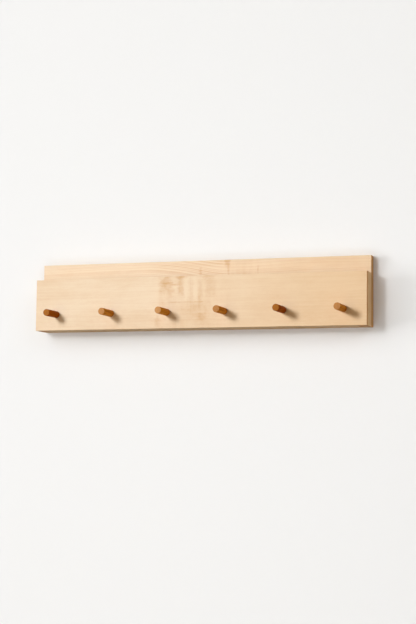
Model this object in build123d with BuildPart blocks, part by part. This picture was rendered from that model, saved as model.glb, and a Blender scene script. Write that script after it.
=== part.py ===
"""Wall rail: a row of round pegs under a narrow tray shelf.

A thin front board, a taller back board and two end blocks close a shallow tray around a solid shelf rail.
The pegs are shouldered: a thin tenon runs through the front board into the shelf rail.
Two keyhole hangers are let into the back, flush with the wall face.

Frame: +Z up, X along the rail, the wall is the plane Y = 0 and the rail stands out towards -Y.
The origin is the centre of the back board's wall face.
"""

import os

from build123d import *

# ---------------------------------------------------------------- boards
rail_length = 600.0
back_height = 120.0
back_thickness = 18.0
front_height = 90.0
front_thickness = 8.0
tray_width = 22.0  # clear width between the two boards
tray_depth = 30.0  # front board's top edge down to the tray floor
end_block_thickness = 18.0
edge_round = 0.8

# ---------------------------------------------------------------- pegs
peg_count = 6
peg_diameter = 12.0
peg_reach = 43.0  # how far a peg stands out of the front board
peg_height = 28.0  # peg axis above the rail's lower edge
peg_end_margin = 40.0  # end of the rail to the first peg's axis
peg_tip_chamfer = 0.9
peg_tenon_diameter = 10.0
peg_hole_web = 3.0  # wood left between a peg's hole and the back board
peg_glue_gap = 1.0  # left open at the bottom of a peg's hole
peg_clearance = 0.05  # radial, tenon in its hole

# ---------------------------------------------------------------- dowels, end block to shelf rail
dowel_diameter = 6.0
dowel_length = 25.0
dowel_spread = 30.0
dowel_glue_gap = 0.5
dowel_clearance = 0.05

# ---------------------------------------------------------------- case screws, sunk into the back
case_head_diameter = 8.0
case_head_height = 2.6
case_shank_diameter = 4.0
case_counterbore_diameter = 9.0
case_counterbore_depth = 5.0
case_shank_hole_diameter = 4.5
case_screw_bite = 14.0  # length that holds in the wood in front of the back board
screw_clearance = 0.05  # radial, a shank in its pilot hole and a flat head in its countersink

# ---------------------------------------------------------------- keyhole hangers
hanger_spacing = 406.4  # 16 in, from stud to stud
hanger_drop = 34.0  # back board's top edge down to the hanger's centre
hanger_length = 46.0
hanger_width = 17.0
hanger_thickness = 2.0
hanger_clearance = 0.25  # round the hanger in its recess
keyhole_entry_diameter = 10.0
keyhole_slot_width = 5.0
keyhole_entry_below_centre = 5.0
keyhole_slot_rise = 11.5  # entry centre up to the centre of the slot's end
head_pocket_width = 11.0
head_pocket_depth = 9.0  # behind the hanger
hanger_screw_spacing = 33.0
hanger_head_diameter = 6.0
hanger_shank_diameter = 3.0
hanger_shank_hole_diameter = 3.2
hanger_screw_length = 12.0

# ---------------------------------------------------------------- worked out from the above
right_end = rail_length / 2
bottom = -back_height / 2
back_top = back_height / 2
front_top = bottom + front_height
tray_floor = front_top - tray_depth
tray_front = -back_thickness - tray_width
front_face = tray_front - front_thickness
block_inner = right_end - end_block_thickness
tray_middle_y = (tray_front - back_thickness) / 2
shelf_rail_middle_z = (bottom + tray_floor) / 2

peg_pitch = (rail_length - 2 * peg_end_margin) / (peg_count - 1)
peg_places = [-right_end + peg_end_margin + i * peg_pitch for i in range(peg_count)]
peg_z = bottom + peg_height
peg_hole_radius = peg_tenon_diameter / 2 + peg_clearance
peg_hole_depth = tray_width - peg_hole_web
peg_tenon_length = front_thickness + peg_hole_depth - peg_glue_gap

dowel_hole_radius = dowel_diameter / 2 + dowel_clearance
dowel_hole_depth = dowel_length / 2 + dowel_glue_gap
dowel_heights = [shelf_rail_middle_z + side * dowel_spread / 2 for side in (-1, 1)]

case_pilot_radius = case_shank_diameter / 2 + screw_clearance
case_pilot_depth = case_screw_bite + screw_clearance
rail_screw_places = [(x + peg_pitch / 2, shelf_rail_middle_z) for x in peg_places[:-1:2]]

hanger_places = [-hanger_spacing / 2, hanger_spacing / 2]
hanger_z = back_top - hanger_drop
keyhole_entry_z = hanger_z - keyhole_entry_below_centre
keyhole_middle_z = keyhole_entry_z + keyhole_slot_rise / 2
hanger_screw_heights = [hanger_z + side * hanger_screw_spacing / 2 for side in (-1, 1)]
hanger_screw_places = [(x, z) for x in hanger_places for z in hanger_screw_heights]

# Sketches for the wall side lie on this plane: its local x is -X, its local y is +Z, and it faces the wall.
wall_side = Plane.back


def on_wall_side(places):
    """(X, Z) places as the wall-side plane's own coordinates."""
    return [(-x, z) for x, z in places]


def round_piece(*profile):
    """A piece turned about the Y axis from (radius, y) points, given from the wall side forward."""
    with BuildPart() as piece:
        with BuildSketch(Plane.XY):
            with BuildLine():
                Polyline(*profile, close=True)
            make_face()
        revolve(axis=Axis.Y)
    return piece.part


def save(builder, name, colour):
    """Label one finished piece and write its STEP file."""
    builder.part.label = name
    builder.part.color = Color(*colour)
    export_step(builder.part, f"parts/{name}.step")


os.makedirs("parts", exist_ok=True)

maple = (0.91, 0.80, 0.66)
peg_brown = (0.52, 0.27, 0.10)
zinc_steel = (0.68, 0.68, 0.66)

# ---------------------------------------------------------------- back board
with BuildPart() as back_board:
    with BuildSketch(wall_side):
        Rectangle(rail_length, back_height)
    extrude(amount=-back_thickness)
    wall_edges = back_board.faces().sort_by(Axis.Y)[-1].edges()
    front_top_edge = back_board.edges().filter_by(Axis.X).group_by(Axis.Y)[0].sort_by(Axis.Z)[-1]
    fillet(wall_edges + [front_top_edge], radius=edge_round)

    # counterbored clearance holes for the case screws
    with Locations(wall_side):
        with Locations(*on_wall_side(rail_screw_places)):
            CounterBoreHole(
                radius=case_shank_hole_diameter / 2,
                counter_bore_radius=case_counterbore_diameter / 2,
                counter_bore_depth=case_counterbore_depth,
                depth=back_thickness,
            )

    # stepped mortises: a shallow recess for each hanger, and a deep pocket for the wall screw's head
    with BuildSketch(wall_side):
        with Locations(*on_wall_side([(x, hanger_z) for x in hanger_places])):
            SlotOverall(
                hanger_length + 2 * hanger_clearance,
                hanger_width + 2 * hanger_clearance,
                rotation=90,
            )
    extrude(amount=-hanger_thickness, mode=Mode.SUBTRACT)
    with BuildSketch(wall_side):
        with Locations(*on_wall_side([(x, keyhole_middle_z) for x in hanger_places])):
            SlotCenterToCenter(keyhole_slot_rise, head_pocket_width, rotation=90)
    extrude(amount=-hanger_thickness - head_pocket_depth, mode=Mode.SUBTRACT)

    # pilot holes for the hanger screws
    with Locations(wall_side):
        with Locations(*on_wall_side(hanger_screw_places)):
            Hole(
                radius=hanger_shank_diameter / 2 + screw_clearance,
                depth=hanger_screw_length + screw_clearance,
            )
save(back_board, "back_board", maple)

# ---------------------------------------------------------------- front board
with BuildPart() as front_board:
    with BuildSketch(Plane.XZ.offset(-tray_front)):
        with Locations((0, (bottom + front_top) / 2)):
            Rectangle(rail_length, front_height)
    extrude(amount=front_thickness)
    fillet(front_board.faces().sort_by(Axis.Y)[0].edges(), radius=edge_round)

    # a round hole for each peg's tenon
    with BuildSketch(Plane.XZ.offset(-front_face)):
        with Locations(*[(x, peg_z) for x in peg_places]):
            Circle(peg_hole_radius)
    extrude(amount=-front_thickness, mode=Mode.SUBTRACT)
save(front_board, "front_board", maple)

# ---------------------------------------------------------------- shelf rail, its top is the tray floor
with BuildPart() as shelf_rail:
    with BuildSketch(Plane.XZ.offset(back_thickness)):
        with Locations((0, shelf_rail_middle_z)):
            Rectangle(2 * block_inner, tray_floor - bottom)
    extrude(amount=tray_width)

    # blind holes: the pegs from the front, the screws from the back, the dowels from each end
    with BuildSketch(Plane.XZ.offset(-tray_front)):
        with Locations(*[(x, peg_z) for x in peg_places]):
            Circle(peg_hole_radius)
    extrude(amount=-peg_hole_depth, mode=Mode.SUBTRACT)
    with BuildSketch(Plane.XZ.offset(back_thickness)):
        with Locations(*rail_screw_places):
            Circle(case_pilot_radius)
    extrude(amount=case_pilot_depth, mode=Mode.SUBTRACT)
    for side in (-1, 1):
        with BuildSketch(Plane.YZ.offset(side * block_inner)):
            with Locations(*[(tray_middle_y, z) for z in dowel_heights]):
                Circle(dowel_hole_radius)
        extrude(amount=-side * dowel_hole_depth, mode=Mode.SUBTRACT)
save(shelf_rail, "shelf_rail", maple)

# ---------------------------------------------------------------- end blocks
for side, end_name in ((-1, "left"), (1, "right")):
    with BuildPart() as end_block:
        with BuildSketch(Plane.XZ.offset(back_thickness)):
            with Locations((side * (right_end - end_block_thickness / 2), (bottom + front_top) / 2)):
                Rectangle(end_block_thickness, front_height)
        extrude(amount=tray_width)
        with BuildSketch(Plane.YZ.offset(side * block_inner)):
            with Locations(*[(tray_middle_y, z) for z in dowel_heights]):
                Circle(dowel_hole_radius)
        extrude(amount=side * dowel_hole_depth, mode=Mode.SUBTRACT)
    save(end_block, f"end_block_{end_name}", maple)

# ---------------------------------------------------------------- pegs, numbered from the left
for number, peg_x in enumerate(peg_places, start=1):
    with BuildPart() as peg:
        with BuildSketch(Plane.XZ.offset(-front_face)):
            with Locations((peg_x, peg_z)):
                Circle(peg_diameter / 2)
        extrude(amount=peg_reach)
        chamfer(peg.faces().sort_by(Axis.Y)[0].edges(), length=peg_tip_chamfer)
        with BuildSketch(Plane.XZ.offset(-front_face)):
            with Locations((peg_x, peg_z)):
                Circle(peg_tenon_diameter / 2)
        extrude(amount=-peg_tenon_length)
    save(peg, f"peg_{number}", peg_brown)

# ---------------------------------------------------------------- dowels
with BuildPart() as end_dowels:
    for side in (-1, 1):
        with BuildSketch(Plane.YZ.offset(side * block_inner)):
            with Locations(*[(tray_middle_y, z) for z in dowel_heights]):
                Circle(dowel_diameter / 2)
        extrude(amount=dowel_length / 2, both=True)
save(end_dowels, "end_dowels", maple)

# ---------------------------------------------------------------- case screws, pan heads on the counterbores' floors
case_screw = round_piece(
    (0, case_head_height - case_counterbore_depth),
    (case_head_diameter / 2, case_head_height - case_counterbore_depth),
    (case_head_diameter / 2, -case_counterbore_depth),
    (case_shank_diameter / 2, -case_counterbore_depth),
    (case_shank_diameter / 2, -back_thickness - case_screw_bite),
    (0, -back_thickness - case_screw_bite),
)
with BuildPart() as rail_screws:
    with Locations(*[(x, 0, z) for x, z in rail_screw_places]):
        add(case_screw)
save(rail_screws, "rail_screws", zinc_steel)

# ---------------------------------------------------------------- keyhole hangers
for hanger_x, end_name in zip(hanger_places, ("left", "right")):
    with BuildPart() as hanger:
        with BuildSketch(wall_side):
            with Locations((-hanger_x, hanger_z)):
                SlotOverall(hanger_length, hanger_width, rotation=90)
        extrude(amount=-hanger_thickness)
        with BuildSketch(wall_side):
            with Locations((-hanger_x, keyhole_entry_z)):
                Circle(keyhole_entry_diameter / 2)
            with Locations((-hanger_x, keyhole_middle_z)):
                SlotCenterToCenter(keyhole_slot_rise, keyhole_slot_width, rotation=90)
        extrude(amount=-hanger_thickness, mode=Mode.SUBTRACT)
        with Locations(wall_side):
            with Locations(*on_wall_side([(hanger_x, z) for z in hanger_screw_heights])):
                CounterSinkHole(
                    radius=hanger_shank_hole_diameter / 2,
                    counter_sink_radius=hanger_head_diameter / 2 + screw_clearance,
                    depth=hanger_thickness,
                    counter_sink_angle=90,
                )
    save(hanger, f"keyhole_hanger_{end_name}", zinc_steel)

# flat heads, flush in the hangers' countersinks
hanger_screw = round_piece(
    (0, 0),
    (hanger_head_diameter / 2, 0),
    (hanger_shank_diameter / 2, (hanger_shank_diameter - hanger_head_diameter) / 2),
    (hanger_shank_diameter / 2, -hanger_screw_length),
    (0, -hanger_screw_length),
)
with BuildPart() as hanger_screws:
    with Locations(*[(x, 0, z) for x, z in hanger_screw_places]):
        add(hanger_screw)
save(hanger_screws, "hanger_screws", zinc_steel)
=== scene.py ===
"""Looks for the peg rail with a tray shelf: woods, turned pegs, fluted dowels, screws and a studio stage.

Run as a script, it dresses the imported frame. Metres, +Z up, the wall is the plane Y = 0.
"""

import math

import bmesh
import bpy
from mathutils import Matrix, Vector


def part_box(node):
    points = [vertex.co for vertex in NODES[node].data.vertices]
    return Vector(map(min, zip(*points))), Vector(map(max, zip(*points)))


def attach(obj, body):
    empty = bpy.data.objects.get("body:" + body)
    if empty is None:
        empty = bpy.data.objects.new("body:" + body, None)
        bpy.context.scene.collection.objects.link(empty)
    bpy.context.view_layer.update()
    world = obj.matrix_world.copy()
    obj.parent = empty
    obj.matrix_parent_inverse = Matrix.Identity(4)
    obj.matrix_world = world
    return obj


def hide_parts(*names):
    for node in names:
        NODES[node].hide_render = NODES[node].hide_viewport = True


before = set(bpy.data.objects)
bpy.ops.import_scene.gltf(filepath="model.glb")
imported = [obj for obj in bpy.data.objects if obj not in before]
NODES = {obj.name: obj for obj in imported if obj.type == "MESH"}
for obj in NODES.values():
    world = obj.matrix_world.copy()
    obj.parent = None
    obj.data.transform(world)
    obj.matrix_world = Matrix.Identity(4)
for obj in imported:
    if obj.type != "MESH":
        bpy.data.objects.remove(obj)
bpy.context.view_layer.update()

bl_info = {
    "name": "Peg rail looks",
    "version": (1, 0, 0),
    "blender": (4, 5, 0),
    "location": "View3D > Sidebar > Peg rail",
    "description": "Dresses the peg rail's frame with woods, pegs, fasteners and a stage",
    "category": "Object",
}

PEG_NAMES = sorted(name for name in NODES if name.startswith("peg_"))
HANGER_NAMES = sorted(name for name in NODES if name.startswith("keyhole_hanger_"))


# ---------------- settings a user would change
def colour_setting(name, description, default):
    """A colour setting, scene linear."""
    return bpy.props.FloatVectorProperty(
        name=name, description=description, default=default, subtype="COLOR", size=3, min=0.0, max=1.0
    )


def length_setting(name, description, default, least=0.0001):
    """A length setting in metres, which can't go under least."""
    return bpy.props.FloatProperty(
        name=name, description=description, default=default, unit="LENGTH", min=least
    )


def share_setting(name, description, default, least=0.0, most=1.0):
    """A plain number between least and most."""
    return bpy.props.FloatProperty(name=name, description=description, default=default, min=least, max=most)


class RailWoodSettings(bpy.types.PropertyGroup):
    """Colours and figure of the pale boards and the brown pegs."""

    board_colour: colour_setting(
        "Board colour", "Early wood of the pale boards, at their left end", (0.925, 0.732, 0.506)
    )
    board_warm_colour: colour_setting(
        "Board warm colour", "The tone that the boards drift to at their right end", (0.880, 0.624, 0.367)
    )
    board_line_colour: colour_setting(
        "Board line colour", "Late wood, streaks and flecks of the pale boards", (0.740, 0.450, 0.220)
    )
    ring_spacing: length_setting("Ring spacing", "Distance between the boards' growth rings", 0.0019, 0.0005)
    peg_colour: colour_setting("Peg colour", "Body of the palest peg", (0.780, 0.305, 0.031))
    peg_deep_colour: colour_setting("Deep peg colour", "Body of the darkest peg", (0.370, 0.079, 0.001))
    peg_line_colour: colour_setting(
        "Peg line colour", "Dark growth lines and pores of the brown pegs", (0.160, 0.030, 0.002)
    )
    peg_tip_colour: colour_setting("Peg tip colour", "End grain of the palest peg", (0.700, 0.355, 0.135))
    peg_deep_tip_colour: colour_setting(
        "Deep peg tip colour", "End grain of the darkest peg", (0.400, 0.128, 0.014)
    )
    peg_tip_round: length_setting("Peg tip rounding", "Radius of the eased edge round a peg's tip", 0.0011)
    peg_tenon_diameter: length_setting(
        "Peg tenon", "Diameter of the tenon behind a peg's shoulder", 0.010, 0.001
    )
    dowel_colour: colour_setting("Dowel colour", "Beech of the fluted dowels", (0.740, 0.490, 0.300))
    flute_count: bpy.props.IntProperty(
        name="Flutes", description="Number of flutes round a dowel", default=16, min=3
    )
    flute_depth: length_setting("Flute depth", "Depth of a dowel's flutes", 0.0003, 0.0)


class RailHardwareSettings(bpy.types.PropertyGroup):
    """Sizes and colour of the screws and hangers."""

    zinc_colour: colour_setting("Zinc colour", "Plating of the screws and hangers", (0.66, 0.66, 0.64))
    case_shank_diameter: length_setting(
        "Case screw diameter", "Thread diameter of the screws that hold the shelf rail", 0.004, 0.001
    )
    case_head_height: length_setting("Case screw head", "Height of a case screw's pan head", 0.0026, 0.0005)
    hanger_shank_diameter: length_setting(
        "Hanger screw diameter", "Thread diameter of the hangers' flat-head screws", 0.003, 0.001
    )
    thread_pitch: share_setting(
        "Thread pitch", "Distance between a thread's turns, as a share of the screw's diameter", 0.45, 0.1
    )
    thread_depth: share_setting(
        "Thread depth", "Height of a screw's thread, as a share of its radius", 0.3, 0.01, 0.6
    )


class RailStageSettings(bpy.types.PropertyGroup):
    """The plain wall and floor, the lamps and the camera."""

    wall_colour: colour_setting(
        "Wall colour", "Paint of the wall that the rail hangs on", (0.940, 0.916, 0.890)
    )
    floor_colour: colour_setting("Floor colour", "Pale floor well below the rail", (0.86, 0.85, 0.83))
    floor_drop: length_setting("Floor drop", "Height of the rail's centre above the floor", 1.5, 0.2)
    key_place: bpy.props.FloatVectorProperty(
        name="Key lamp",
        description="Centre of the small soft lamp that draws the shadows",
        default=(-0.76, -1.93, 0.45),
        subtype="TRANSLATION",
        size=3,
    )
    key_share: share_setting(
        "Key share", "Share of the light on the rail's middle that the key lamp gives", 0.71
    )
    room_share: share_setting(
        "Room share", "Share of the light that comes evenly from the room all round", 0.28
    )
    light_level: share_setting(
        "Light level", "Brightness of every lamp; at 1 a colour shows about as it is written", 1.0, 0.0, 10.0
    )


# ---------------- node helpers
ORIGIN = (0.0, 0.0, 0.0)
MIDDLE = (0.5, 0.5, 0.5)  # a noise colour's middle value


def feed(tree, socket, value):
    """Links a socket to an input, or sets the input's own value."""
    if isinstance(value, bpy.types.NodeSocket):
        tree.links.new(value, socket)
    else:
        socket.default_value = value


def put(tree, kind, inputs=None, **settings):
    """Adds a node, applies its settings, and feeds its inputs by name or number."""
    node = tree.nodes.new(kind)
    for key, value in settings.items():
        setattr(node, key, value)
    for key, value in (inputs or {}).items():
        feed(tree, node.inputs[key], value)
    return node


def calc(tree, operation, *values, clamp=False):
    """The output of a Math node on sockets or numbers."""
    node = put(tree, "ShaderNodeMath", dict(enumerate(values)), operation=operation, use_clamp=clamp)
    return node.outputs[0]


def vector_calc(tree, operation, *values):
    """The output of a Vector Math node on sockets or vectors."""
    node = put(tree, "ShaderNodeVectorMath", dict(enumerate(values)), operation=operation)
    return node.outputs["Value" if operation == "LENGTH" else "Vector"]


def weigh(tree, base, *parts):
    """A base value plus each (value, weight) pair's product."""
    for value, weight in parts:
        base = calc(tree, "MULTIPLY_ADD", value, weight, base)
    return base


def remap(tree, value, low, high, to_low=0.0, to_high=1.0):
    """A smooth step from low..high to to_low..to_high."""
    inputs = {"Value": value, "From Min": low, "From Max": high, "To Min": to_low, "To Max": to_high}
    return put(tree, "ShaderNodeMapRange", inputs, interpolation_type="SMOOTHSTEP").outputs["Result"]


def coordinates(tree):
    """The outputs that say where on its object a point lies, and which way it faces."""
    return put(tree, "ShaderNodeTexCoord").outputs


def split(tree, vector):
    """The X, Y and Z of a vector."""
    return put(tree, "ShaderNodeSeparateXYZ", {0: vector}).outputs


def noise(tree, vector, scale, detail, roughness=0.5, distortion=0.0, output="Fac"):
    """A 3-D noise on coordinates scaled apart along each axis."""
    place = vector_calc(tree, "MULTIPLY", vector, scale)
    shape = {"Scale": 1.0, "Detail": detail, "Roughness": roughness, "Distortion": distortion}
    return put(tree, "ShaderNodeTexNoise", {"Vector": place, **shape}).outputs[output]


def swing(tree, vector, scale, detail, roughness, reach):
    """A noise vector that swings evenly round zero, by half of reach at most."""
    swung = noise(tree, vector, scale, detail, roughness, output="Color")
    return vector_calc(tree, "MULTIPLY", vector_calc(tree, "SUBTRACT", swung, MIDDLE), reach)


def blend_colour(tree, share, first, second, kind="MIX"):
    """first mixed with second by share."""
    node = put(tree, "ShaderNodeMix", data_type="RGBA", blend_type=kind)
    for index, value in ((0, share), (6, first), (7, second)):
        feed(tree, node.inputs[index], value)
    return node.outputs[2]


def blend_shader(tree, share, first, second):
    """The first shader mixed with the second by share."""
    return put(tree, "ShaderNodeMixShader", {0: share, 1: first, 2: second}).outputs[0]


def in_view(tree):
    """1 for what the view sees, straight or in a reflection, and 0 for light on its way."""
    path = put(tree, "ShaderNodeLightPath").outputs
    return calc(tree, "MAXIMUM", path["Is Camera Ray"], path["Is Glossy Ray"])


def rgba(colour, tone=1.0):
    """A colour setting made darker or lighter, with its alpha."""
    return (*(tone * part for part in colour), 1.0)


def between(share, first, second):
    """The colour that lies a share of the way from one colour setting to another, with its alpha."""
    return rgba([a + share * (b - a) for a, b in zip(first, second)])


# ---------------- shared shader groups
def new_shader_group(name, inputs, outputs):
    """An empty shader group with the named sockets; returns it with its input sockets and output node."""
    group = bpy.data.node_groups.new(name, "ShaderNodeTree")
    for socket, value in inputs.items():
        kind = "NodeSocketFloat" if isinstance(value, float) else "NodeSocketVector"
        group.interface.new_socket(socket, in_out="INPUT", socket_type=kind).default_value = value
    for socket in outputs:
        group.interface.new_socket(socket, in_out="OUTPUT", socket_type="NodeSocketFloat")
    return group, group.nodes.new("NodeGroupInput").outputs, group.nodes.new("NodeGroupOutput").inputs


def wood_rings_group():
    """Growth rings of solid wood: wandering cylinders round a pith that runs along local X."""
    group, given, result = new_shader_group(
        "wood_rings",
        {"Vector": ORIGIN, "Pith": ORIGIN, "Seed": ORIGIN, "Spacing": 0.002, "Lean": 0.0, "Wander": 0.012},
        ("Line", "Band"),
    )
    place = vector_calc(group, "ADD", given["Vector"], given["Seed"])
    swell = swing(group, place, (4.5, 11.0, 11.0), 2.0, 0.45, given["Wander"])
    from_pith = vector_calc(group, "SUBTRACT", given["Vector"], given["Pith"])
    x, y, z = split(group, vector_calc(group, "ADD", from_pith, swell))
    leaned = calc(group, "MULTIPLY_ADD", x, given["Lean"], y)
    radius = calc(group, "SQRT", calc(group, "MULTIPLY_ADD", leaned, leaned, calc(group, "MULTIPLY", z, z)))
    count = calc(group, "DIVIDE", radius, given["Spacing"])
    band = put(group, "ShaderNodeTexNoise", {"W": count, "Scale": 0.3, "Detail": 1.0}, noise_dimensions="1D")
    count = calc(group, "MULTIPLY_ADD", band.outputs["Fac"], 2.0, count)
    within = calc(group, "FRACT", count)
    rise = remap(group, within, 0.15, 0.82)
    fall = remap(group, within, 0.86, 1.0, 1.0, 0.0)
    each = put(group, "ShaderNodeTexWhiteNoise", {"W": calc(group, "FLOOR", count)}, noise_dimensions="1D")
    weight = remap(group, each.outputs["Value"], 0.0, 1.0, 0.5, 1.0)
    feed(group, result["Line"], calc(group, "MULTIPLY", calc(group, "MULTIPLY", rise, fall), weight))
    feed(group, result["Band"], band.outputs["Fac"])
    return group


def wood_fibre_group():
    """Fine streaks, flecks and soft clouds of wood whose grain runs along local X."""
    group, given, result = new_shader_group(
        "wood_fibre", {"Vector": ORIGIN, "Seed": ORIGIN}, ("Streak", "Fleck", "Cloud")
    )
    place = vector_calc(group, "ADD", given["Vector"], given["Seed"])
    broad = noise(group, place, (7.0, 300.0, 300.0), 3.0, 0.6)
    thin = noise(group, place, (30.0, 1500.0, 1500.0), 2.0, 0.6)
    dashes = noise(group, place, (260.0, 2400.0, 2400.0), 1.0)
    cloud = noise(group, place, (9.0, 24.0, 24.0), 6.0, 0.72)
    feed(group, result["Streak"], remap(group, weigh(group, 0.0, (broad, 0.6), (thin, 0.4)), 0.32, 0.70))
    feed(group, result["Fleck"], remap(group, dashes, 0.58, 0.74))
    feed(group, result["Cloud"], remap(group, cloud, 0.30, 0.72))
    return group


def curly_figure_group():
    """Curly figure: bands across the grain that begin sharply at Start and die away by End."""
    group, given, result = new_shader_group(
        "curly_figure", {"Vector": ORIGIN, "Seed": ORIGIN, "Start": -0.06, "End": 0.08}, ("Band",)
    )
    place = vector_calc(group, "ADD", given["Vector"], given["Seed"])
    bands = noise(group, place, (125.0, 18.0, 18.0), 3.0, 0.55, 0.35)
    patches = noise(group, place, (30.0, 42.0, 42.0), 2.0, 0.55)
    x = split(group, given["Vector"])[0]
    sway = calc(group, "MULTIPLY_ADD", patches, 0.010, x)
    begun = remap(group, calc(group, "SUBTRACT", sway, given["Start"]), 0.000, 0.006)
    length = calc(group, "SUBTRACT", given["End"], given["Start"])
    gone = calc(group, "DIVIDE", calc(group, "SUBTRACT", x, given["Start"]), length)
    envelope = calc(group, "MULTIPLY", begun, remap(group, gone, 0.3, 1.0, 1.0, 0.0))
    band = calc(group, "MULTIPLY", remap(group, bands, 0.34, 0.70), remap(group, patches, 0.30, 0.66))
    feed(group, result["Band"], calc(group, "MULTIPLY", band, envelope))
    return group


def wood_mark_group():
    """One soft-edged mark in the wood, with an uneven outline and a little grain in it."""
    group, given, result = new_shader_group(
        "wood_mark", {"Vector": ORIGIN, "Centre": ORIGIN, "Reach": (0.01, 1.0, 0.01)}, ("Mark",)
    )
    offset = vector_calc(group, "SUBTRACT", given["Vector"], given["Centre"])
    offset = vector_calc(group, "DIVIDE", offset, given["Reach"])
    uneven = swing(group, given["Vector"], (130.0, 130.0, 170.0), 2.0, 0.55, (1.5, 0.0, 1.5))
    away = vector_calc(group, "LENGTH", vector_calc(group, "ADD", offset, uneven))
    grain = noise(group, given["Vector"], (70.0, 800.0, 800.0), 2.0, 0.6)
    away = calc(group, "MULTIPLY_ADD", grain, 0.5, calc(group, "SUBTRACT", away, 0.25))
    feed(group, result["Mark"], remap(group, away, 0.05, 1.25, 1.0, 0.0))
    return group


def end_grain_group():
    """How squarely a face cuts the grain, 0 on a long face and 1 on an end, and the pores seen there."""
    group, given, result = new_shader_group(
        "end_grain", {"Vector": ORIGIN, "Normal": (0.0, 0.0, 1.0)}, ("End", "Pore")
    )
    end = remap(group, calc(group, "ABSOLUTE", split(group, given["Normal"])[0]), 0.55, 0.92)
    pores = noise(group, given["Vector"], (1700.0, 1700.0, 1700.0), 1.0)
    feed(group, result["End"], end)
    feed(group, result["Pore"], calc(group, "MULTIPLY", remap(group, pores, 0.55, 0.70), end))
    return group


GROUP_MAKERS = {
    "wood_rings": wood_rings_group,
    "wood_fibre": wood_fibre_group,
    "curly_figure": curly_figure_group,
    "wood_mark": wood_mark_group,
    "end_grain": end_grain_group,
}


def use_group(tree, name, **inputs):
    """Places a shared effect in a material, building it the first time; returns its outputs."""
    group = bpy.data.node_groups.get(name) or GROUP_MAKERS[name]()
    return put(tree, "ShaderNodeGroup", inputs, node_tree=group).outputs


# ---------------- materials
# where along the rail the boards turn to their warm colour
WARM_SPAN = (-0.15, 0.34)

LINE_MEAN = 0.28  # of the growth lines; taken off, so that strong lines don't dim a board
CLEAR_WOOD = -0.11  # where the marks' sum starts, so that the clearest wood shows the board's own colour

# what each face of a board is multiplied by, beside its front: painted shade on its underside, top and sides,
# and the end grain's own darker colour
UNDERSIDE_PAINTED_SHADE = (0.63, 0.54, 0.41)
TOP_PAINTED_SHADE = (0.95, 0.90, 0.80)
SIDE_PAINTED_SHADE = (0.91, 0.86, 0.73)
END_GRAIN_TINT = (0.86, 0.65, 0.49)

PORE_COLOUR = (0.25, 0.14, 0.07)  # in the boards' end grain
PEG_SHEEN = (1.0, 0.45, 0.12)  # tint of the pegs' highlights


def new_material(name, **inputs):
    """A material with one Principled shader; returns it, its tree and the shader's inputs.

    inputs are plain values for the shader, with _ for the blanks in their names.
    """
    material = bpy.data.materials.new(name)
    material.use_nodes = True
    tree = material.node_tree
    tree.nodes.clear()
    named = {key.replace("_", " "): value for key, value in inputs.items()}
    shader = put(tree, "ShaderNodeBsdfPrincipled", named)
    put(tree, "ShaderNodeOutputMaterial", {"Surface": shader.outputs[0]})
    return material, tree, shader.inputs


def along_grain(tree, vector, grain):
    """A vector turned so that the grain, the object's X, Y or Z, becomes local X."""
    x, y, z = split(tree, vector)
    order = {"X": (x, y, z), "Y": (y, z, x), "Z": (z, x, y)}[grain]
    return put(tree, "ShaderNodeCombineXYZ", dict(enumerate(order))).outputs[0]


def bump(tree, normal, height, strength, distance):
    """Feeds a shader's normal from a height."""
    node = put(tree, "ShaderNodeBump", {"Strength": strength, "Distance": distance, "Height": height})
    feed(tree, normal, node.outputs[0])


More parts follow.
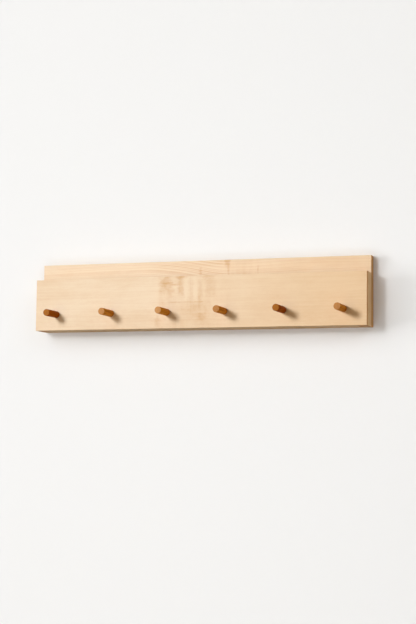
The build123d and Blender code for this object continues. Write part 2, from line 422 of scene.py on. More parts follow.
def board_wood(
    name, wood, grain, seed, pith, lean=0.02, lines=0.5, growth=1.0, tone=1.0, drift=1.0,
    sweep=None, curl=None, marks=(),
):
    """Pale, close-grained board wood whose rings lie round a pith, tilted by lean across the grain.

    lines is the strength of the growth rings and growth how wide they are, tone is how light the board
    is beside the others, and drift is how far its right end goes to the warm colour.
    sweep is (start, end, drop): between start and end along the grain the rings show more and drop.
    curl is (start, end, strength) of its curly figure along the grain. marks are (x, z, half length,
    half height, strength) of single marks on the face; a negative strength pales the wood.
    """
    material, tree, shader = new_material(name, Specular_IOR_Level=0.1)
    coords = coordinates(tree)
    place = along_grain(tree, coords["Object"], grain)
    facing = along_grain(tree, coords["Normal"], grain)
    along = split(tree, place)[0]
    ring_place = place
    if sweep:
        start, finish, drop = sweep
        shift = put(tree, "ShaderNodeCombineXYZ", {"Y": remap(tree, along, start, finish, 0.0, drop)})
        ring_place = vector_calc(tree, "ADD", place, shift.outputs[0])
    spacing = wood.ring_spacing * growth
    wander = 0.010 if sweep else 0.020
    rings = use_group(
        tree, "wood_rings", Vector=ring_place, Pith=pith, Seed=seed, Spacing=spacing, Lean=lean, Wander=wander
    )
    line = calc(tree, "SUBTRACT", rings["Line"], LINE_MEAN)
    if sweep:
        begun = remap(tree, along, start - 0.08, start + 0.03, 0.4, 1.0)
        line = calc(tree, "MULTIPLY", line, begun)
        line = calc(tree, "MULTIPLY", line, remap(tree, along, finish - 0.02, finish, 1.0, 0.4))
    fibre = use_group(tree, "wood_fibre", Vector=place, Seed=seed)
    end = use_group(tree, "end_grain", Vector=coords["Object"], Normal=facing)

    dark = weigh(tree, CLEAR_WOOD, (line, 0.22 * lines), (rings["Band"], 0.08))
    dark = weigh(tree, dark, (fibre["Streak"], 0.22), (fibre["Fleck"], 0.18), (fibre["Cloud"], 0.26))
    relief = weigh(tree, fibre["Streak"], (line, 0.4))
    if curl:
        start, finish, strength = curl
        figure = use_group(tree, "curly_figure", Vector=place, Seed=seed, Start=start, End=finish)["Band"]
        dark = weigh(tree, dark, (figure, strength))
        relief = weigh(tree, relief, (figure, 1.5))
    for x, z, half_length, half_height, strength in marks:
        reach = (half_length, 1.0, half_height)
        mark = use_group(tree, "wood_mark", Vector=coords["Object"], Centre=(x, 0.0, z), Reach=reach)["Mark"]
        dark = weigh(tree, dark, (mark, strength))
    dark = calc(tree, "ADD", dark, 0.0, clamp=True)

    warm = remap(tree, split(tree, coords["Object"])[0], *WARM_SPAN, 0.0, drift)
    body = blend_colour(tree, warm, rgba(wood.board_colour, tone), rgba(wood.board_warm_colour, tone))
    colour = blend_colour(tree, dark, body, rgba(wood.board_line_colour, tone))
    side, _, up = split(tree, coords["Normal"])
    # painted shade darkens the underside, the top and the sides; the end grain then takes its own darker
    # colour
    for share, tint in (
        (remap(tree, up, -0.95, -0.6, 1.0, 0.0), UNDERSIDE_PAINTED_SHADE),
        (remap(tree, up, 0.93, 0.995), TOP_PAINTED_SHADE),
        (remap(tree, calc(tree, "ABSOLUTE", side), 0.6, 0.95), SIDE_PAINTED_SHADE),
        (end["End"], END_GRAIN_TINT),
    ):
        colour = blend_colour(tree, share, colour, rgba(tint), "MULTIPLY")
    colour = blend_colour(tree, calc(tree, "MULTIPLY", end["Pore"], 0.35), colour, rgba(PORE_COLOUR))
    feed(tree, shader["Base Color"], colour)
    feed(tree, shader["Roughness"], weigh(tree, 0.50, (fibre["Streak"], 0.10), (end["End"], 0.15)))
    bump(tree, shader["Normal"], relief, 0.25, 0.00012)
    return material


def peg_wood(name, wood, seed, side_depth, tip_depth):
    """Oiled brown peg wood with its grain along Y.

    The depths say how far a peg's sides and tip go from the palest peg's colour to the darkest's.
    """
    material, tree, shader = new_material(name, Specular_IOR_Level=0.015, Specular_Tint=rgba(PEG_SHEEN))
    coords = coordinates(tree)
    place = along_grain(tree, coords["Object"], "Y")
    facing = along_grain(tree, coords["Normal"], "Y")
    rings = use_group(
        tree,
        "wood_rings",
        Vector=place,
        Pith=(0.0, -0.075, 0.4 * math.sin(seed)),
        Seed=(seed, 0.3 * seed, 0.0),
        Spacing=0.0017,
        Lean=0.04,
        Wander=0.006,
    )
    fibre = use_group(tree, "wood_fibre", Vector=place, Seed=(seed, 0.0, seed))
    end = use_group(tree, "end_grain", Vector=coords["Object"], Normal=facing)
    line = rgba(wood.peg_line_colour)
    marks = weigh(tree, 0.0, (rings["Line"], 0.30), (fibre["Streak"], 0.25), (fibre["Fleck"], 0.30))
    side = blend_colour(tree, marks, between(side_depth, wood.peg_colour, wood.peg_deep_colour), line)
    pores = weigh(tree, 0.0, (rings["Line"], 0.22), (end["Pore"], 0.25))
    tip = blend_colour(tree, pores, between(tip_depth, wood.peg_tip_colour, wood.peg_deep_tip_colour), line)
    feed(tree, shader["Base Color"], blend_colour(tree, end["End"], side, tip))
    feed(tree, shader["Roughness"], weigh(tree, 0.46, (fibre["Streak"], 0.12), (end["End"], 0.2)))
    bump(tree, shader["Normal"], weigh(tree, fibre["Streak"], (rings["Line"], 0.5)), 0.35, 0.0001)
    return material


def dowel_wood(name, wood):
    """Dry beech with its grain along X and short dark flecks."""
    material, tree, shader = new_material(name)
    coords = coordinates(tree)
    fibre = use_group(tree, "wood_fibre", Vector=coords["Object"], Seed=(0.4, 0.2, 0.9))
    end = use_group(tree, "end_grain", Vector=coords["Object"], Normal=coords["Normal"])
    dark = weigh(tree, 0.0, (fibre["Streak"], 0.25), (fibre["Fleck"], 0.55), (end["End"], 0.35))
    colour = blend_colour(tree, dark, rgba(wood.dowel_colour), rgba(wood.dowel_colour, 0.45))
    feed(tree, shader["Base Color"], colour)
    feed(tree, shader["Roughness"], weigh(tree, 0.62, (fibre["Streak"], 0.15)))
    bump(tree, shader["Normal"], fibre["Streak"], 0.3, 0.0001)
    return material


def zinc_plate(name, hardware):
    """Bright zinc plating: mottled crystals, faint brushing and a satin sheen."""
    material, tree, shader = new_material(name, Metallic=1.0)
    coords = coordinates(tree)["Object"]
    crystals = put(tree, "ShaderNodeTexVoronoi", {"Vector": coords, "Scale": 520.0}).outputs["Color"]
    patch = split(tree, crystals)[0]
    brushed = noise(tree, coords, (3800.0, 3800.0, 160.0), 2.0)
    stain = remap(tree, noise(tree, coords, (90.0, 90.0, 90.0), 3.0), 0.45, 0.75)
    dull = weigh(tree, 0.0, (patch, 0.35), (stain, 0.4))
    colour = blend_colour(tree, dull, rgba(hardware.zinc_colour), rgba(hardware.zinc_colour, 0.72))
    feed(tree, shader["Base Color"], colour)
    feed(tree, shader["Roughness"], weigh(tree, 0.24, (patch, 0.10), (brushed, 0.16)))
    bump(tree, shader["Normal"], brushed, 0.2, 0.00004)
    return material


def matt_paint(name, colour):
    """Matt paint for the stage; returns its material, tree, the paint and the surface input that it feeds."""
    material, tree, shader = new_material(
        name, Base_Color=rgba(colour), Roughness=0.9, Specular_IOR_Level=0.1
    )
    coords = coordinates(tree)["Object"]
    bump(tree, shader["Normal"], noise(tree, coords, (700.0, 700.0, 700.0), 2.0), 0.05, 0.0002)
    paint = shader["Base Color"].node.outputs[0]
    return material, tree, paint, paint.links[0].to_socket


def wall_paint(name, colour, low, high):
    """Paint that is seen from its front only: from behind, the view passes it and a lamp's light doesn't.

    Between the corners low and high, where a board hangs, the light passes too and reaches the board's back.
    """
    material, tree, paint, surface = matt_paint(name, colour)
    x, _, z = split(tree, coordinates(tree)["Object"])
    centre, half = (low + high) / 2, (high - low) / 2
    across = calc(tree, "COMPARE", x, centre.x, half.x)
    patch = calc(tree, "MULTIPLY", across, calc(tree, "COMPARE", z, centre.z, half.z))
    behind = put(tree, "ShaderNodeNewGeometry").outputs["Backfacing"]
    path = put(tree, "ShaderNodeLightPath").outputs
    seen = calc(tree, "SUBTRACT", path["Is Camera Ray"], behind, clamp=True)
    through_patch = calc(tree, "SUBTRACT", patch, seen, clamp=True)
    through_rest = calc(tree, "SUBTRACT", behind, path["Is Shadow Ray"], clamp=True)
    passes = calc(tree, "MAXIMUM", through_patch, through_rest)
    clear = put(tree, "ShaderNodeBsdfTransparent").outputs[0]
    feed(tree, surface, blend_shader(tree, passes, paint, clear))
    return material


def floor_paint(name, colour, bounce, glow, backdrop, fade):
    """Paint that the view sees in a pale colour, while bounce is the colour that it throws light back in.

    glow is the share of the pale colour that doesn't depend on the lamps. Between the two distances in fade
    from its middle the floor turns to the backdrop's colour, so it has no horizon.
    """
    material, tree, paint, surface = matt_paint(name, bounce)
    place = coordinates(tree)["Object"]
    away = vector_calc(tree, "LENGTH", vector_calc(tree, "MULTIPLY", place, (1.0, 1.0, 0.0)))
    gone = remap(tree, away, *fade)
    shown = blend_colour(tree, gone, rgba(colour), rgba(backdrop))
    pale = put(tree, "ShaderNodeEmission", {"Color": shown, "Strength": 1.0}).outputs[0]
    share = calc(tree, "MULTIPLY", in_view(tree), weigh(tree, glow, (gone, 1.0 - glow)))
    feed(tree, surface, blend_shader(tree, share, paint, pale))
    return material


# ---------------- mesh helpers
CRISP_ANGLE = math.radians(35)

# local Z turned to the axis that the piece lies along
TURNS = {
    "-Y": Matrix.Rotation(math.pi / 2, 4, "X"),
    "+Y": Matrix.Rotation(-math.pi / 2, 4, "X"),
    "+X": Matrix.Rotation(math.pi / 2, 4, "Y"),
}


def add_object(name, data):
    """Links a new object for a mesh, a lamp or a camera."""
    made = bpy.data.objects.new(name, data)
    bpy.context.scene.collection.objects.link(made)
    return made


def applied_mesh(piece):
    """A new mesh of the piece with its modifiers applied."""
    return bpy.data.meshes.new_from_object(piece.evaluated_get(bpy.context.evaluated_depsgraph_get()))


def shade(mesh):
    """Smooth shading that keeps sharp edges crisp."""
    mesh.polygons.foreach_set("use_smooth", [True] * len(mesh.polygons))
    mesh.set_sharp_from_angle(angle=CRISP_ANGLE)
    mesh.update()


def turned(name, profile, segments, swell=None):
    """A closed mesh turned about local Z from (radius, height) points that start and end on the axis.

    swell(turn, height), with turn from 0 to 1, is added to the radius, as for a thread or flutes.
    """
    body = bmesh.new()
    rows = []
    for radius, height in profile:
        if radius == 0.0:
            rows.append([body.verts.new((0.0, 0.0, height))])
            continue
        row = []
        for i in range(segments):
            turn = i / segments
            reach = radius + (swell(turn, height) if swell else 0.0)
            angle = 2 * math.pi * turn
            row.append(body.verts.new((reach * math.cos(angle), reach * math.sin(angle), height)))
        rows.append(row)
    for low, high in zip(rows, rows[1:]):
        for i in range(segments):
            j = (i + 1) % segments
            corners = [low[i % len(low)], low[j % len(low)], high[j % len(high)], high[i % len(high)]]
            body.faces.new(dict.fromkeys(corners))
    bmesh.ops.recalc_face_normals(body, faces=body.faces)
    mesh = bpy.data.meshes.new(name)
    body.to_mesh(mesh)
    body.free()
    return mesh


def quarter_turn(steps):
    """Evenly spaced angles from 0 to a right angle."""
    return [math.pi / 2 * i / steps for i in range(steps + 1)]


def eased_edge(radius, end, rounding, steps=6):
    """(radius, height) points of a rounded outer edge, from the side up to the end face."""
    inner, below = radius - rounding, end - rounding
    return [(inner + rounding * math.cos(a), below + rounding * math.sin(a)) for a in quarter_turn(steps)]


# a cross recess's arms at the cutter's top and at its floor: reach and half width beside the sizes asked for
RECESS_MOUTH = (1.25, 0.56)
RECESS_FLOOR = (0.42, 0.34)


def cut_cross(mesh, top, reach, width, depth):
    """Cuts a tapered cross recess into a screw's head from the height top."""
    body = bmesh.new()
    rings = []
    for height, (reach_share, half_share) in ((top + depth, RECESS_MOUTH), (top - depth, RECESS_FLOOR)):
        length, half = reach_share * reach, half_share * width
        arm = ((length, -half), (length, half), (half, half))
        corners = []
        for quarter in range(4):
            turn = Matrix.Rotation(quarter * math.pi / 2, 3, "Z")
            corners += [body.verts.new(turn @ Vector((x, y, height))) for x, y in arm]
        rings.append(corners)
    for i in range(len(rings[0])):
        j = (i + 1) % len(rings[0])
        body.faces.new((rings[0][i], rings[0][j], rings[1][j], rings[1][i]))
    for corners in rings:
        body.faces.new(corners)
    bmesh.ops.recalc_face_normals(body, faces=body.faces)
    cutter_mesh = bpy.data.meshes.new("cross_cutter")
    body.to_mesh(cutter_mesh)
    body.free()
    cutter, screw = add_object("cross_cutter", cutter_mesh), add_object("screw_blank", mesh)
    cut = screw.modifiers.new("recess", "BOOLEAN")
    cut.operation, cut.solver, cut.object = "DIFFERENCE", "EXACT", cutter
    result = applied_mesh(screw)
    for scrap in (cutter, screw):
        bpy.data.objects.remove(scrap)
    return result


SCREW_SEGMENTS = 24
PLAIN_RADIUS = 0.94  # the plain neck's, beside the thread's
NECK_LENGTH = 0.9  # in diameters
POINT_LENGTH = 1.6  # in radii
THREAD_ROWS = 8  # rows of points in each turn of a thread
THREAD_FLANK = 3.2  # how steeply a thread's ridge falls away
THREAD_START, THREAD_END = 1.5, 0.6  # over how many turns the ridge rises and dies away


def wood_screw(name, head, length, diameter, hardware, recess):
    """A screw about local Z with its point at -length, a thread, a plain neck and a cross recess in its head.

    head lists (radius, height) points from the shank out and up to the axis. recess is the reach and width
    of the cross as shares of the head's diameter, and its depth.
    """
    radius = diameter / 2
    core, plain = radius * (1 - hardware.thread_depth), PLAIN_RADIUS * radius
    pitch = hardware.thread_pitch * diameter
    neck = head[0][1] - NECK_LENGTH * diameter
    point = -length + POINT_LENGTH * radius
    rows = max(2, round((neck - point) / pitch * THREAD_ROWS))
    profile = [(0.0, -length), (0.45 * core, -length + 0.5 * radius)]
    profile += [(core, point + (neck - point) * i / rows) for i in range(rows + 1)]
    profile += [(plain, neck + 0.2 * radius), (plain, head[0][1]), *head]

    def thread(turn, height):
        fade_in = min(1.0, max(0.0, (height - point + 0.4 * pitch) / (THREAD_START * pitch)))
        fade_out = min(1.0, max(0.0, (neck - height) / (THREAD_END * pitch)))
        ridge = max(0.0, 1.0 - THREAD_FLANK * abs((height / pitch - turn) % 1.0 - 0.5))
        return (radius - core) * ridge * min(fade_in, fade_out) if height <= neck else 0.0

    mesh = turned(name, profile, SCREW_SEGMENTS, thread)
    reach, width, depth = recess
    across = 2 * max(r for r, _ in head)
    return cut_cross(mesh, head[-1][1], reach * across, width * across, depth)


# ---------------- repeats
def setting_out_group():
    """Geometry nodes that set one piece out in upright columns and rows, each turned at random."""
    group = bpy.data.node_groups.new("setting_out", "GeometryNodeTree")
    sockets = {"Geometry": "Geometry", "Columns": "Int", "Rows": "Int", "Width": "Float", "Height": "Float"}
    sockets |= {"Centre": "Vector", "Axis": "Vector", "Seed": "Int", "Finish": "Material"}
    for socket, kind in sockets.items():
        group.interface.new_socket(socket, in_out="INPUT", socket_type="NodeSocket" + kind)
    group.interface.new_socket("Geometry", in_out="OUTPUT", socket_type="NodeSocketGeometry")
    given = group.nodes.new("NodeGroupInput").outputs
    size = {"Size X": given["Width"], "Size Y": given["Height"]}
    count = {"Vertices X": given["Columns"], "Vertices Y": given["Rows"]}
    grid = put(group, "GeometryNodeMeshGrid", {**size, **count}).outputs["Mesh"]
    stand = {"Geometry": grid, "Translation": given["Centre"], "Rotation": (math.pi / 2, 0.0, 0.0)}
    points = put(group, "GeometryNodeTransform", stand).outputs[0]
    copies = put(group, "GeometryNodeInstanceOnPoints", {"Points": points, "Instance": given["Geometry"]})
    full_turn = {2: 0.0, 3: 2 * math.pi, "Seed": given["Seed"]}
    angle = put(group, "FunctionNodeRandomValue", full_turn, data_type="FLOAT").outputs[1]
    turn = vector_calc(group, "MULTIPLY", given["Axis"], angle)
    spun = put(group, "GeometryNodeRotateInstances", {"Instances": copies.outputs[0], "Rotation": turn})
    real = put(group, "GeometryNodeRealizeInstances", {"Geometry": spun.outputs[0]})
    finish = put(group, "GeometryNodeSetMaterial", {"Geometry": real.outputs[0], "Material": given["Finish"]})
    feed(group, group.nodes.new("NodeGroupOutput").inputs["Geometry"], finish.outputs[0])
    return group


def set_out(name, mesh, half_size, columns, rows, axis, seed, material):
    """One piece for the node called name: the mesh set out in columns and rows that fill the node's box.

    half_size is half of the single piece's width and height.
    """
    low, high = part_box(name)
    centre = (low + high) / 2
    mesh_low = min(vertex.co.y for vertex in mesh.vertices)
    piece = add_object(name + "_set", mesh)
    modifier = piece.modifiers.new("setting_out", "NODES")
    group = bpy.data.node_groups.get("setting_out") or setting_out_group()
    modifier.node_group = group
    values = {
        "Columns": columns,
        "Rows": rows,
        "Width": high.x - low.x - 2 * half_size[0],
        "Height": high.z - low.z - 2 * half_size[1],
        "Centre": (centre.x, low.y - mesh_low, centre.z),
        "Axis": axis,
        "Seed": seed,
        "Finish": material,
    }
    for item in group.interface.items_tree:
        if item.in_out == "INPUT" and item.name in values:
            modifier[item.identifier] = values[item.name]
    result = applied_mesh(piece)
    piece.modifiers.remove(modifier)
    piece.data = result
    shade(result)
    return piece


def stand_in(piece, node):
    """The piece stands for a CAD node: it joins the root body and the node is hidden."""
    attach(piece, "root")
    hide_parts(node)


def dress(node, material):
    """Gives a CAD node one material."""
    slots = NODES[node].data.materials
    slots.clear()
    slots.append(material)


# ---------------- operators
class RAIL_OT_boards(bpy.types.Operator):
    """Dress the boards, the shelf rail and the end blocks in pale wood"""

    bl_idname = "rail.boards"
    bl_label = "Boards"

    # x, z, half length, half height and strength of single marks on the two boards' faces
    FRONT_MARKS = (
        (-0.055, 0.020, 0.013, 0.018, 0.50),
        (-0.052, 0.030, 0.007, 0.005, 0.30),
        (-0.026, 0.029, 0.012, 0.005, 0.66),
        (-0.028, 0.016, 0.006, 0.018, 0.36),
        (-0.052, 0.0185, 0.011, 0.0020, 0.42),
        (-0.039, 0.0155, 0.010, 0.0020, 0.46),
        (-0.046, 0.001, 0.010, 0.014, 0.35),
        (-0.026, 0.002, 0.009, 0.010, 0.28),
        (-0.036, 0.006, 0.006, 0.010, -0.25),
        (-0.017, 0.010, 0.005, 0.026, -0.28),
        (-0.009, 0.006, 0.002, 0.034, 0.18),
        (0.000, 0.006, 0.005, 0.026, -0.26),
        (0.009, -0.002, 0.006, 0.026, 0.32),
        (0.026, 0.012, 0.012, 0.030, 0.30),
        (0.024, 0.028, 0.018, 0.007, 0.24),
        (0.010, -0.041, 0.008, 0.010, 0.36),
        (0.002, -0.031, 0.030, 0.022, 0.22),
        (-0.069, -0.048, 0.006, 0.012, 0.36),
        (-0.022, -0.0150, 0.048, 0.0012, 0.40),
        (0.000, -0.062, 0.500, 0.034, 0.10),
    )
    BACK_MARKS = (
        (0.0475, 0.055, 0.007, 0.009, 0.55),
        (0.0495, 0.042, 0.003, 0.013, 0.45),
        (0.041, 0.060, 0.014, 0.004, 0.36),
        (-0.002, 0.040, 0.004, 0.010, 0.40),
        (0.1025, 0.042, 0.0016, 0.010, 0.42),
    )

    def execute(self, context):
        wood = context.scene.rail_wood
        front = board_wood(
            "front_board_wood",
            wood,
            "X",
            seed=(3.1, 0.7, 5.2),
            pith=(0.0, 0.16, -0.020),
            lines=0.15,
            curl=(-0.064, 0.095, 0.26),
            marks=self.FRONT_MARKS,
        )
        back = board_wood(
            "back_board_wood",
            wood,
            "X",
            seed=(1.4, 2.3, 0.6),
            pith=(0.0, 0.070, -0.030),
            lean=0.01,
            lines=2.9,
            growth=1.3,
            drift=0.6,
            tone=0.975,
            sweep=(-0.10, 0.055, -0.016),
            curl=(0.047, 0.150, 0.20),
            marks=self.BACK_MARKS,
        )
        dress("front_board", front)
        dress("back_board", back)
        shelf = board_wood("shelf_rail_wood", wood, "X", seed=(7.7, 4.1, 3.3), pith=(0.0, 0.04, -0.13))
        dress("shelf_rail", shelf)
        for side, seed in (("left", (5.5, 1.9, 8.2)), ("right", (2.6, 6.4, 4.9))):
            block = board_wood(f"end_block_{side}_wood", wood, "Z", seed=seed, pith=(0.0, 0.31, -0.09))
            dress(f"end_block_{side}", block)
        return {"FINISHED"}


class RAIL_OT_pegs(bpy.types.Operator):
    """Turn the six pegs with eased tips and shouldered tenons"""

    bl_idname = "rail.pegs"
    bl_label = "Pegs"

    # how far each peg's sides and tip go towards the darkest peg's, from the left
    DEPTHS = ((0.93, 0.86), (0.17, 0.30), (0.0, 0.08), (0.20, 0.40), (1.0, 0.90), (0.25, 0.42))
    SHOULDER_EASE = 0.0003
    TENON_CHAMFER = 0.001
    SEGMENTS = 64
    SEED_STEP = 1.7

    def execute(self, context):
        wood = context.scene.rail_wood
        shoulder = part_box("front_board")[0].y
        for number, (name, depths) in enumerate(zip(PEG_NAMES, self.DEPTHS), start=1):
            low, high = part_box(name)
            radius = (high.x - low.x) / 2
            reach, root = shoulder - low.y, high.y - shoulder
            tenon = wood.peg_tenon_diameter / 2
            profile = [
                (0.0, -root),
                (tenon - self.TENON_CHAMFER, -root),
                (tenon, -root + self.TENON_CHAMFER),
                (tenon, 0.0),
                (radius - self.SHOULDER_EASE, 0.0),
                (radius, self.SHOULDER_EASE),
                *((radius, quarter * reach / 4) for quarter in (1, 2, 3)),
                *eased_edge(radius, reach, wood.peg_tip_round),
                (0.0, reach),
            ]
            mesh = turned(name + "_turned", profile, self.SEGMENTS)
            centre = (low + high) / 2
            mesh.transform(Matrix.Translation((centre.x, shoulder, centre.z)) @ TURNS["-Y"])
            shade(mesh)
            mesh.materials.append(peg_wood(name + "_wood", wood, self.SEED_STEP * number, *depths))
            stand_in(add_object(name + "_turned", mesh), name)
        return {"FINISHED"}


class RAIL_OT_dowels(bpy.types.Operator):
    """Turn the four fluted dowels between the shelf rail and the end blocks"""

    bl_idname = "rail.dowels"
    bl_label = "Dowels"

    CHAMFER = 0.0006
    LENGTH = 0.025
    SEED = 4

    def execute(self, context):
        wood = context.scene.rail_wood
        low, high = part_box("end_dowels")
        radius, half = (high.y - low.y) / 2, self.LENGTH / 2
        end = [(radius, half - self.CHAMFER), (radius - self.CHAMFER, half), (0.0, half)]
        profile = [(r, -z) for r, z in reversed(end)] + end

        def flute(turn, height):
            if abs(height) == half:
                return 0.0
            return -wood.flute_depth * (0.5 + 0.5 * math.cos(2 * math.pi * wood.flute_count * turn))

        mesh = turned("end_dowel", profile, 4 * wood.flute_count, flute)
        mesh.transform(TURNS["+X"])
        material = dowel_wood("dowel_beech", wood)
        piece = set_out("end_dowels", mesh, (half, radius), 2, 2, (1.0, 0.0, 0.0), self.SEED, material)
        stand_in(piece, "end_dowels")
        return {"FINISHED"}


class RAIL_OT_case_screws(bpy.types.Operator):
    """Drive the pan-head screws that hold the shelf rail to the back board"""

    bl_idname = "rail.case_screws"
    bl_label = "Case screws"

    HEAD_EASE = 0.0002
    HEAD_SIDE = 0.3  # the share of the head's height below its crown
    CROWN_STEPS = 7
    CROWN_POWER = 0.6  # under 1 fills the crown out, from a dome to a pan
    RECESS = (0.30, 0.15, 0.0016)  # reach and width beside the head's diameter, and depth
    SEED = 7

    def execute(self, context):
        hardware = context.scene.rail_hardware
        low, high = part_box("rail_screws")
        radius, height = (high.z - low.z) / 2, hardware.case_head_height
        length = high.y - low.y - height
        side = self.HEAD_SIDE * height
        crown = [
            (radius * math.cos(a) ** self.CROWN_POWER, side + (height - side) * math.sin(a))
            for a in quarter_turn(self.CROWN_STEPS)[:-1]
        ]
        shank = hardware.case_shank_diameter
        ease = self.HEAD_EASE
        head = [(shank / 2, 0.0), (radius - ease, 0.0), (radius, ease), *crown, (0.0, height)]
        mesh = wood_screw("case_screw", head, length, shank, hardware, self.RECESS)
        mesh.transform(TURNS["+Y"])
        material = zinc_plate("case_screw_zinc", hardware)
        piece = set_out("rail_screws", mesh, (radius, radius), 3, 1, (0.0, 1.0, 0.0), self.SEED, material)
        stand_in(piece, "rail_screws")
        return {"FINISHED"}


class RAIL_OT_hangers(bpy.types.Operator):
    """Plate the keyhole hangers and drive their flat-head screws"""

    bl_idname = "rail.hangers"
    bl_label = "Hangers"

    RECESS = (0.40, 0.17, 0.0015)  # reach and width beside the head's diameter, and depth
    SEED = 11

    def execute(self, context):
        hardware = context.scene.rail_hardware
        for name in HANGER_NAMES:
            dress(name, zinc_plate(name + "_zinc", hardware))
        low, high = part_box("hanger_screws")
        hanger_low, hanger_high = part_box(HANGER_NAMES[0])
        # the screws stand on the hangers' centre lines, so a head reaches from there to the box's side
        radius = hanger_low.x + (hanger_high.x - hanger_low.x) / 2 - low.x
        shank = hardware.hanger_shank_diameter
        head = [(shank / 2, shank / 2 - radius), (radius, 0.0), (0.0, 0.0)]
        mesh = wood_screw("hanger_screw", head, high.y - low.y, shank, hardware, self.RECESS)
        mesh.transform(TURNS["+Y"])
        material = zinc_plate("hanger_screw_zinc", hardware)
        piece = set_out("hanger_screws", mesh, (radius, radius), 2, 2, (0.0, 1.0, 0.0), self.SEED, material)
        stand_in(piece, "hanger_screws")
        return {"FINISHED"}


class RAIL_OT_stage(bpy.types.Operator):
    """Set the wall, the floor, the lamps and the camera"""

    bl_idname = "rail.stage"
    bl_label = "Stage"

    WALL_REACH = 3.0
    WALL_GAP = 0.0001
    SHADED_EDGE = 0.0004  # the lit patch behind the back board stays this far inside its outline

    FLOOR_BOUNCE = (0.16, 0.12, 0.08)
    FLOOR_GLOW = 0.9
    FLOOR_REACH = 12.0
    FLOOR_FADE = (3.0, 10.0)
    FLOOR_SIDES = 64
    BACKDROP = (0.93, 0.93, 0.92)

    KEY_SIZE = 0.52
    KEY_TINT = (0.89, 0.95, 1.07)
    # name, place, diameter, share of the light on the rail's middle, colour
    RAIL_LAMPS = (
        ("low_lamp", (-0.60, -2.60, -0.85), 1.8, 0.14, (1.0, 0.84, 0.60)),
        ("back_lamp", (0.80, 1.60, 0.90), 1.2, 0.79, (0.88, 0.94, 1.0)),
    )
    # the same without the colour, which all these share
    WALL_LAMPS = (
        ("wall_key_lamp", (-0.85, -2.60, 0.40), 0.40, 0.215),
        ("wall_window_lamp", (-1.60, -3.00, 1.50), 2.4, 0.19),
        ("wall_left_lamp", (-4.00, -2.40, 0.00), 2.4, 0.21),
        ("wall_low_lamp", (0.00, -3.00, -1.30), 2.4, 0.08),
        ("wall_right_lamp", (2.20, -2.40, 1.50), 1.6, 0.07),
        ("wall_floor_lamp", (-0.10, -1.60, -1.30), 1.0, 0.155),
    )
    WALL_TINT = (0.90, 0.94, 0.98)
    ROOM_TINT = (1.0, 0.92, 0.80)
    CEILING_SHARE = 0.5

    CAMERA_PLACE = (0.8520, -2.4335, -0.2764)
    CAMERA_TURNS = (19.156, 5.505, 0.694)  # to the left, up and roll, in degrees
    CAMERA_LENS = 85.83
    CAMERA_SENSOR = 36.0
    CAMERA_CLIP = (0.05, 50.0)

    def execute(self, context):
        stage = context.scene.rail_stage
        self.hang_wall(stage)
        self.lay_floor(stage)
        self.light_world(context, stage)
        key = ("key_lamp", stage.key_place, self.KEY_SIZE, stage.key_share, self.KEY_TINT)
        for lamp in (key, *self.RAIL_LAMPS):
            self.add_lamp(stage, "EXCLUDE", *lamp)
        for lamp in self.WALL_LAMPS:
            self.add_lamp(stage, "INCLUDE", *lamp, self.WALL_TINT)
        self.aim_camera(context)
        return {"FINISHED"}

    def hang_wall(self, stage):
        """A wall just behind the back board."""
        reach = self.WALL_REACH
        corners = ((-reach, -stage.floor_drop), (reach, -stage.floor_drop), (reach, reach), (-reach, reach))
        mesh = bpy.data.meshes.new("wall")
        mesh.from_pydata([(x, self.WALL_GAP, z) for x, z in corners], [], [(0, 1, 2, 3)])
        low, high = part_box("back_board")
        edge = Vector((self.SHADED_EDGE, 0.0, self.SHADED_EDGE))
        mesh.materials.append(wall_paint("wall_paint", stage.wall_colour, low + edge, high - edge))
        add_object("wall", mesh)

    def lay_floor(self, stage):
        """A plain pale floor, well below the rail."""
        reach, sides = self.FLOOR_REACH, self.FLOOR_SIDES
        turns = [2 * math.pi * i / sides for i in range(sides)]
        rim = [(reach * math.cos(a), reach * math.sin(a), -stage.floor_drop) for a in turns]
        mesh = bpy.data.meshes.new("floor")
        mesh.from_pydata(rim, [], [range(sides)])
        glow, fade = self.FLOOR_GLOW, self.FLOOR_FADE
        paint = floor_paint("floor_paint", stage.floor_colour, self.FLOOR_BOUNCE, glow, self.BACKDROP, fade)
        mesh.materials.append(paint)
        add_object("floor", mesh)

    def light_world(self, context, stage):
        """Soft light from the room, less of it from above. A view or a reflection sees it as near white."""
        world = bpy.data.worlds.new("room")
        context.scene.world = world
        world.use_nodes = True
        tree = world.node_tree
        tree.nodes.clear()
        level = stage.room_share * stage.light_level / self.ROOM_TINT[1]
        height = split(tree, coordinates(tree)["Generated"])[2]
        dimmed = remap(tree, height, 0.0, 1.0, level, level * self.CEILING_SHARE)
        fill = put(tree, "ShaderNodeBackground", {"Color": rgba(self.ROOM_TINT), "Strength": dimmed})
        shown = put(tree, "ShaderNodeBackground", {"Color": rgba(self.BACKDROP), "Strength": 1.0})
        mix = blend_shader(tree, in_view(tree), fill.outputs[0], shown.outputs[0])
        put(tree, "ShaderNodeOutputWorld", {"Surface": mix})

    def add_lamp(self, stage, wall_state, name, place, size, share, tint):
        """A round soft lamp that gives share of the light on the wall plane at the rail's middle.

        Its light doesn't fall off with distance, as from a window further away.
        """
        place = Vector(place)
        distance = place.length
        facing = abs(place.y) / distance
        lamp = bpy.data.lights.new(name, "AREA")
        lamp.shape = "DISK"
        lamp.size = size
        lamp.color = tint
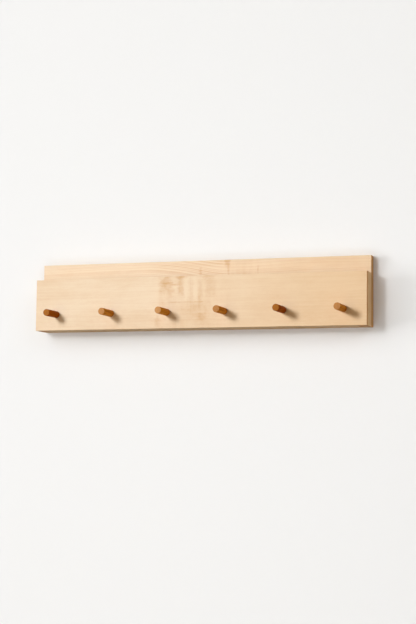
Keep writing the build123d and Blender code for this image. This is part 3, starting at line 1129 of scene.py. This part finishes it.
        # a matt surface throws back energy * facing / (pi * distance) ** 2 of a lamp turned to it
        lamp.energy = share * stage.light_level * (math.pi * distance) ** 2 / facing / tint[1]
        lamp.use_nodes = True
        tree = lamp.node_tree
        tree.nodes.clear()
        even = put(tree, "ShaderNodeLightFalloff", {"Strength": 1 / distance**2}).outputs["Constant"]
        glow = put(tree, "ShaderNodeEmission", {"Strength": even}).outputs[0]
        put(tree, "ShaderNodeOutputLight", {"Surface": glow})
        made = add_object(name, lamp)
        made.location = place
        made.rotation_mode = "QUATERNION"
        made.rotation_quaternion = (-place).to_track_quat("-Z", "Y")
        made.visible_camera = False
        made.light_linking.receiver_collection = self.wall_link(wall_state)

    def wall_link(self, state):
        """A light-linking collection. With INCLUDE a lamp lights the wall, with EXCLUDE all but the wall."""
        name = "wall_" + state.lower()
        group = bpy.data.collections.get(name)
        if not group:
            group = bpy.data.collections.new(name)
            group.objects.link(bpy.data.objects["wall"])
            group.collection_objects[0].light_linking.link_state = state
        return group

    def aim_camera(self, context):
        """Low and to the right of the rail, looking up and left at it."""
        turn_left, look_up, roll = (math.radians(angle) for angle in self.CAMERA_TURNS)
        level = Vector((math.cos(turn_left), math.sin(turn_left), 0.0))
        ahead = Vector((-math.sin(turn_left), math.cos(turn_left), 0.0))
        forward = math.cos(look_up) * ahead + Vector((0.0, 0.0, math.sin(look_up)))
        right = math.cos(roll) * level + math.sin(roll) * level.cross(forward)
        axes = Matrix((right, right.cross(forward), -forward)).transposed()
        lens = bpy.data.cameras.new("camera")
        lens.sensor_fit = "AUTO"
        lens.sensor_width = self.CAMERA_SENSOR
        lens.lens = self.CAMERA_LENS
        lens.clip_start, lens.clip_end = self.CAMERA_CLIP
        camera = add_object("camera", lens)
        camera.matrix_world = Matrix.Translation(self.CAMERA_PLACE) @ axes.to_4x4()
        context.scene.camera = camera


class RAIL_PT_panel(bpy.types.Panel):
    """The peg rail's steps and settings"""

    bl_label = "Peg rail"
    bl_idname = "RAIL_PT_panel"
    bl_space_type = "VIEW_3D"
    bl_region_type = "UI"
    bl_category = "Peg rail"

    def draw(self, context):
        for step in STEPS:
            self.layout.operator(step.bl_idname)
        for name, settings in SETTINGS.items():
            box = self.layout.box()
            for prop in settings.__annotations__:
                box.prop(getattr(context.scene, name), prop)


STEPS = (RAIL_OT_boards, RAIL_OT_pegs, RAIL_OT_dowels, RAIL_OT_case_screws, RAIL_OT_hangers, RAIL_OT_stage)
SETTINGS = {
    "rail_wood": RailWoodSettings,
    "rail_hardware": RailHardwareSettings,
    "rail_stage": RailStageSettings,
}
CLASSES = (*SETTINGS.values(), *STEPS, RAIL_PT_panel)


def register():
    for cls in CLASSES:
        bpy.utils.register_class(cls)
    for name, cls in SETTINGS.items():
        setattr(bpy.types.Scene, name, bpy.props.PointerProperty(type=cls))


def unregister():
    for name in SETTINGS:
        delattr(bpy.types.Scene, name)
    for cls in reversed(CLASSES):
        bpy.utils.unregister_class(cls)


def main():
    register()
    bpy.context.scene.view_settings.view_transform = "Standard"
    bpy.ops.rail.boards()
    bpy.ops.rail.pegs()
    bpy.ops.rail.dowels()
    bpy.ops.rail.case_screws()
    bpy.ops.rail.hangers()
    bpy.ops.rail.stage()


if __name__ == "__main__":
    main()
